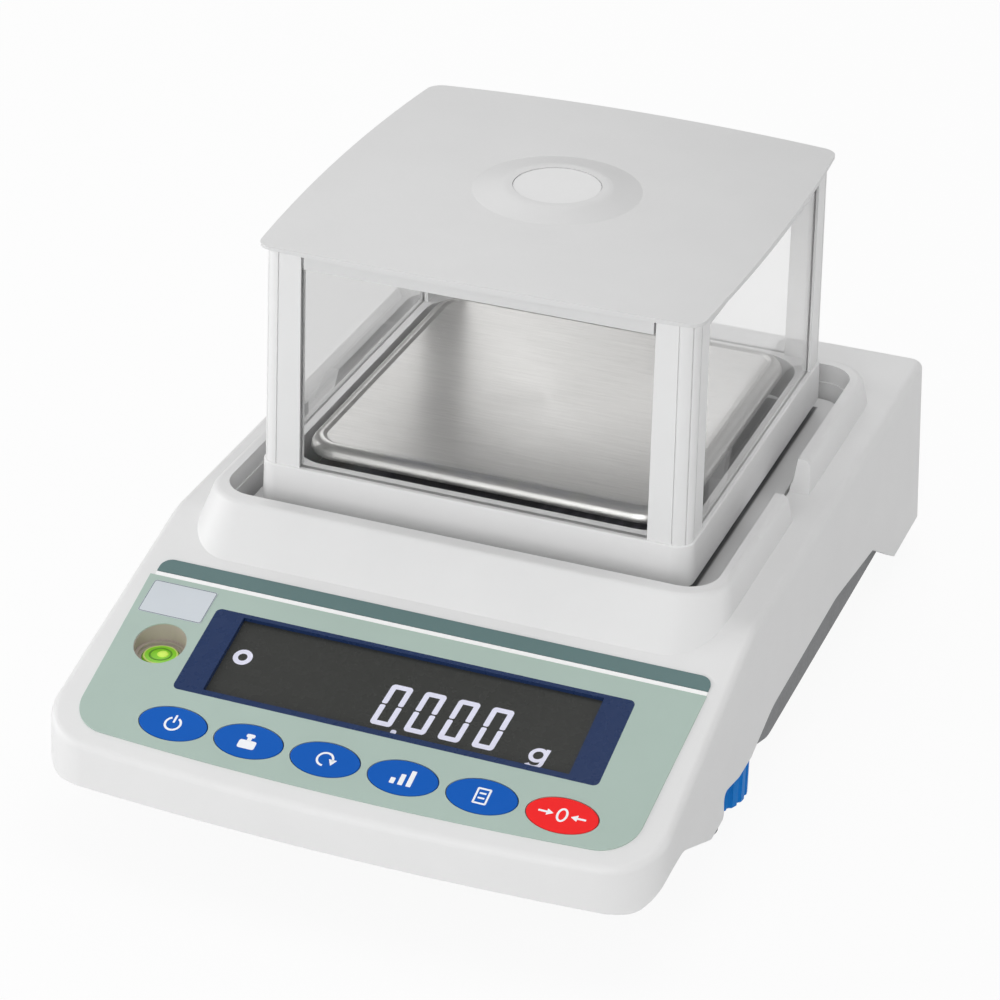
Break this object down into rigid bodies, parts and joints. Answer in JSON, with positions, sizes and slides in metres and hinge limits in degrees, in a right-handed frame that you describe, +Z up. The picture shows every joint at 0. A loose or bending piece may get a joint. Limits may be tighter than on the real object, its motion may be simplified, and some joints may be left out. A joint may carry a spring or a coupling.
{
  "type": "precision balance",
  "caption": "Bench precision balance with a square brushed steel pan under a clear draft shield with a lift-off lid, sloped control panel, and levelling feet.",
  "frame": {"origin": "on the bench, under the centre of the bounding box", "axes": "+X to the user's right, +Y from the control panel to the rear connectors, +Z up"},
  "size_m": [0.211, 0.317, 0.1754],
  "materials": {
    "case_white": "fine moulded texture, warm-neutral white",
    "tray_grey": "dark painted casting",
    "overlay_green": "matte printed film",
    "strip_teal": "matte printed film",
    "label_pale": "bare pale sticker",
    "surround_navy": "printed window surround",
    "lcd_dark": "dark display glass",
    "key_blue": "satin",
    "key_red": "satin",
    "sleeve_taupe": "satin",
    "vial_green": "clear green liquid",
    "shield_white": "satin",
    "pane_clear": "clear",
    "lid_white": "fine satin",
    "disc_white": "satin",
    "pan_steel": "brushed",
    "support_alloy": "machined",
    "soft_black": "matte",
    "dust_grey": "pale matte",
    "dial_blue": "satin",
    "stud_pale": "satin",
    "sensor_alloy": "machined",
    "spring_steel": "bright",
    "magnet_steel": "plated",
    "coil_copper": "enamelled",
    "board_green": "solder mask",
    "part_black": "satin",
    "ribbon_grey": "satin",
    "socket_black": "satin",
    "socket_steel": "plated",
    "terminal_brass": "plated",
    "screw_steel": "zinc plated"
  },
  "bodies": {
    "base": {"upper_case": "case_white", "base_tray": "tray_grey", "control_overlay": "overlay_green", "header_strip": "strip_teal", "label_plate": "label_pale", "display_surround": "surround_navy", "lcd_module": "lcd_dark", "display_board": "board_green", "key_board": "board_green", "key_domes": "spring_steel", "level_sleeve": "sleeve_taupe", "level_vial": "vial_green", "dust_plate": "dust_grey", "sensor_frame": "sensor_alloy", "guide_sheets": "spring_steel", "lever_pivot": "spring_steel", "magnet_pot": "magnet_steel", "main_board": "board_green", "board_parts": "part_black", "display_ribbon": "ribbon_grey", "rear_panel": "socket_black", "power_inlet": "socket_black", "serial_socket": "socket_steel", "usb_socket": "socket_steel", "earth_terminal": "terminal_brass", "rear_feet": "soft_black", "case_screws": "screw_steel", "inner_screws": "screw_steel", "underhook_cover": "part_black"},
    "load_receiver": {"load_carrier": "sensor_alloy", "receiver_post": "support_alloy", "coupling_strip": "spring_steel"},
    "sensor_lever": {"balance_lever": "sensor_alloy", "coil": "coil_copper"},
    "pan_support": {"pan_support": "support_alloy", "pan_cushions": "soft_black"},
    "pan": {"weighing_pan": "pan_steel"},
    "draft_shield": {"shield_ring": "shield_white", "shield_pane_front": "pane_clear", "shield_pane_right": "pane_clear", "shield_pane_rear": "pane_clear", "shield_pane_left": "pane_clear", "shield_post_front_left": "shield_white", "shield_post_front_right": "shield_white", "shield_post_rear_right": "shield_white", "shield_post_rear_left": "shield_white"},
    "lid": {"shield_lid": "lid_white", "lid_disc": "disc_white"},
    "key_power": {"key_power": "key_blue"},
    "key_calibrate": {"key_calibrate": "key_blue"},
    "key_mode": {"key_mode": "key_blue"},
    "key_sample": {"key_sample": "key_blue"},
    "key_print": {"key_print": "key_blue"},
    "key_zero": {"key_zero": "key_red"},
    "foot_left": {"foot_pad_left": "soft_black"},
    "dial_left": {"level_dial_left": "dial_blue", "foot_stud_left": "stud_pale"},
    "foot_right": {"foot_pad_right": "soft_black"},
    "dial_right": {"level_dial_right": "dial_blue", "foot_stud_right": "stud_pale"}
  },
  "joints": [
    {"name": "receiver_press", "type": "slide", "parent": "base", "child": "load_receiver", "axis": [0, 0, 1], "range_m": [-0.0003, 0], "stiffness_N_per_m": 4000, "springref_m": 0.002},
    {"name": "lever_tilt", "type": "hinge", "parent": "base", "child": "sensor_lever", "pos_m": [0, 0.066, 0.0485], "axis": [1, 0, 0], "range_deg": [-0.1, 1.2]},
    {"name": "support_lift", "type": "slide", "parent": "load_receiver", "child": "pan_support", "axis": [0, 0, 1], "range_m": [0, 0.06]},
    {"name": "pan_lift", "type": "slide", "parent": "pan_support", "child": "pan", "axis": [0, 0, 1], "range_m": [0, 0.06]},
    {"name": "shield_lift", "type": "slide", "parent": "base", "child": "draft_shield", "axis": [0, 0, 1], "range_m": [0, 0.15]},
    {"name": "lid_lift", "type": "slide", "parent": "draft_shield", "child": "lid", "axis": [0, 0, 1], "range_m": [0, 0.12]},
    {"name": "key_power_press", "type": "slide", "parent": "base", "child": "key_power", "axis": [0, 0.289, -0.9573], "range_m": [0, 0.0005], "stiffness_N_per_m": 3000, "springref_m": -0.0003},
    {"name": "key_calibrate_press", "type": "slide", "parent": "base", "child": "key_calibrate", "axis": [0, 0.289, -0.9573], "range_m": [0, 0.0005], "stiffness_N_per_m": 3000, "springref_m": -0.0003},
    {"name": "key_mode_press", "type": "slide", "parent": "base", "child": "key_mode", "axis": [0, 0.289, -0.9573], "range_m": [0, 0.0005], "stiffness_N_per_m": 3000, "springref_m": -0.0003},
    {"name": "key_sample_press", "type": "slide", "parent": "base", "child": "key_sample", "axis": [0, 0.289, -0.9573], "range_m": [0, 0.0005], "stiffness_N_per_m": 3000, "springref_m": -0.0003},
    {"name": "key_print_press", "type": "slide", "parent": "base", "child": "key_print", "axis": [0, 0.289, -0.9573], "range_m": [0, 0.0005], "stiffness_N_per_m": 3000, "springref_m": -0.0003},
    {"name": "key_zero_press", "type": "slide", "parent": "base", "child": "key_zero", "axis": [0, 0.289, -0.9573], "range_m": [0, 0.0005], "stiffness_N_per_m": 3000, "springref_m": -0.0003},
    {"name": "foot_left_extend", "type": "slide", "parent": "base", "child": "foot_left", "axis": [0, 0, 1], "range_m": [-0.0041, 0]},
    {"name": "dial_left_turn", "type": "hinge", "parent": "foot_left", "child": "dial_left", "pos_m": [-0.088, -0.0609, 0.02], "axis": [0, 0, 1], "range_deg": [-1440, 0]},
    {"name": "foot_right_extend", "type": "slide", "parent": "base", "child": "foot_right", "axis": [0, 0, 1], "range_m": [-0.0041, 0]},
    {"name": "dial_right_turn", "type": "hinge", "parent": "foot_right", "child": "dial_right", "pos_m": [0.088, -0.0609, 0.02], "axis": [0, 0, 1], "range_deg": [-1440, 0]}
  ],
  "couplings": [
    {"joint": "lever_tilt", "follows": "receiver_press", "rad_per_m": -58.824},
    {"joint": "foot_left_extend", "follows": "dial_left_turn", "m_per_rad": 0.00015915},
    {"joint": "foot_right_extend", "follows": "dial_right_turn", "m_per_rad": 0.00015915}
  ]
}
